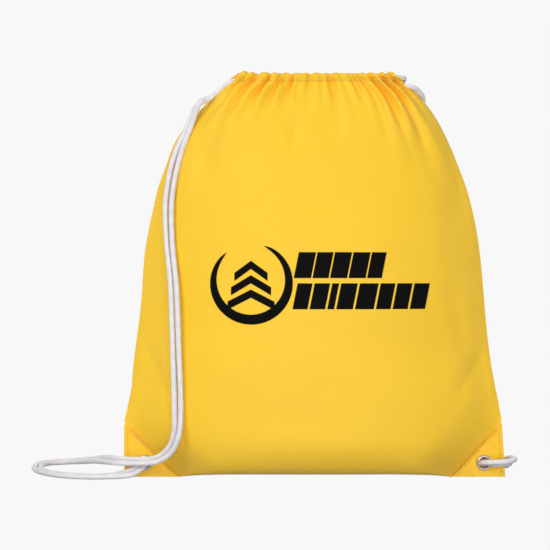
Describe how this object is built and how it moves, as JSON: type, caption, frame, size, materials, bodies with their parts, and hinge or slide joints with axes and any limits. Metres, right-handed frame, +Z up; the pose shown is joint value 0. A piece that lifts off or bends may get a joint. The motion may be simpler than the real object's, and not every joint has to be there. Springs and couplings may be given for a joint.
{
  "type": "drawstring backpack",
  "caption": "Filled drawstring backpack standing on its base, mouth gathered by cords through two tunnels, each cord returning to a bottom corner eyelet as a strap.",
  "frame": {"origin": "middle of the base that the bag stands on", "axes": "+Z up towards the mouth, +X to the right seen from the front, -Y out of the front panel"},
  "size_m": [0.4435, 0.1615, 0.363],
  "materials": {
    "bag_cloth": "plain-woven polyester, dyed yellow",
    "patch_cloth": "two layers of the same polyester, top-stitched",
    "thread": "polyester sewing thread",
    "cord": "round braided polyester cord, white",
    "eyelet_metal": "nickel-plated, polished by pressing"
  },
  "bodies": {
    "bag": {"front_panel": "bag_cloth", "back_panel": "bag_cloth", "front_tunnel": "bag_cloth", "back_tunnel": "bag_cloth", "left_front_patch": "patch_cloth", "left_back_patch": "patch_cloth", "right_front_patch": "patch_cloth", "right_back_patch": "patch_cloth", "patch_stitching": "thread", "left_eyelet": "eyelet_metal", "right_eyelet": "eyelet_metal", "left_eyelet_washer": "eyelet_metal", "right_eyelet_washer": "eyelet_metal", "left_knot": "cord", "right_knot": "cord", "left_lead_front": "cord", "left_lead_rear": "cord", "right_lead_front": "cord", "right_lead_rear": "cord", "left_slack_front": "cord", "left_slack_rear": "cord", "right_slack_front": "cord", "right_slack_rear": "cord"},
    "left_drawcord": {"left_drawcord": "cord"},
    "right_drawcord": {"right_drawcord": "cord"},
    "left_strap": {"left_strap_front": "cord", "left_strap_rear": "cord"},
    "right_strap": {"right_strap_front": "cord", "right_strap_rear": "cord"}
  },
  "joints": [
    {"name": "left_drawcord_slide", "type": "slide", "parent": "bag", "child": "left_drawcord", "axis": [1, 0, 0], "range_m": [0, 0.03]},
    {"name": "right_drawcord_slide", "type": "slide", "parent": "bag", "child": "right_drawcord", "axis": [-1, 0, 0], "range_m": [0, 0.03]},
    {"name": "left_strap_swing", "type": "hinge", "parent": "bag", "child": "left_strap", "pos_m": [-0.104, -0.011, 0.334], "axis": [0.0617, 0.0835, 0.9946], "range_deg": [0, 60]},
    {"name": "right_strap_swing", "type": "hinge", "parent": "bag", "child": "right_strap", "pos_m": [0.096, 0.014, 0.334], "axis": [-0.0617, -0.0835, 0.9946], "range_deg": [0, 60]}
  ]
}
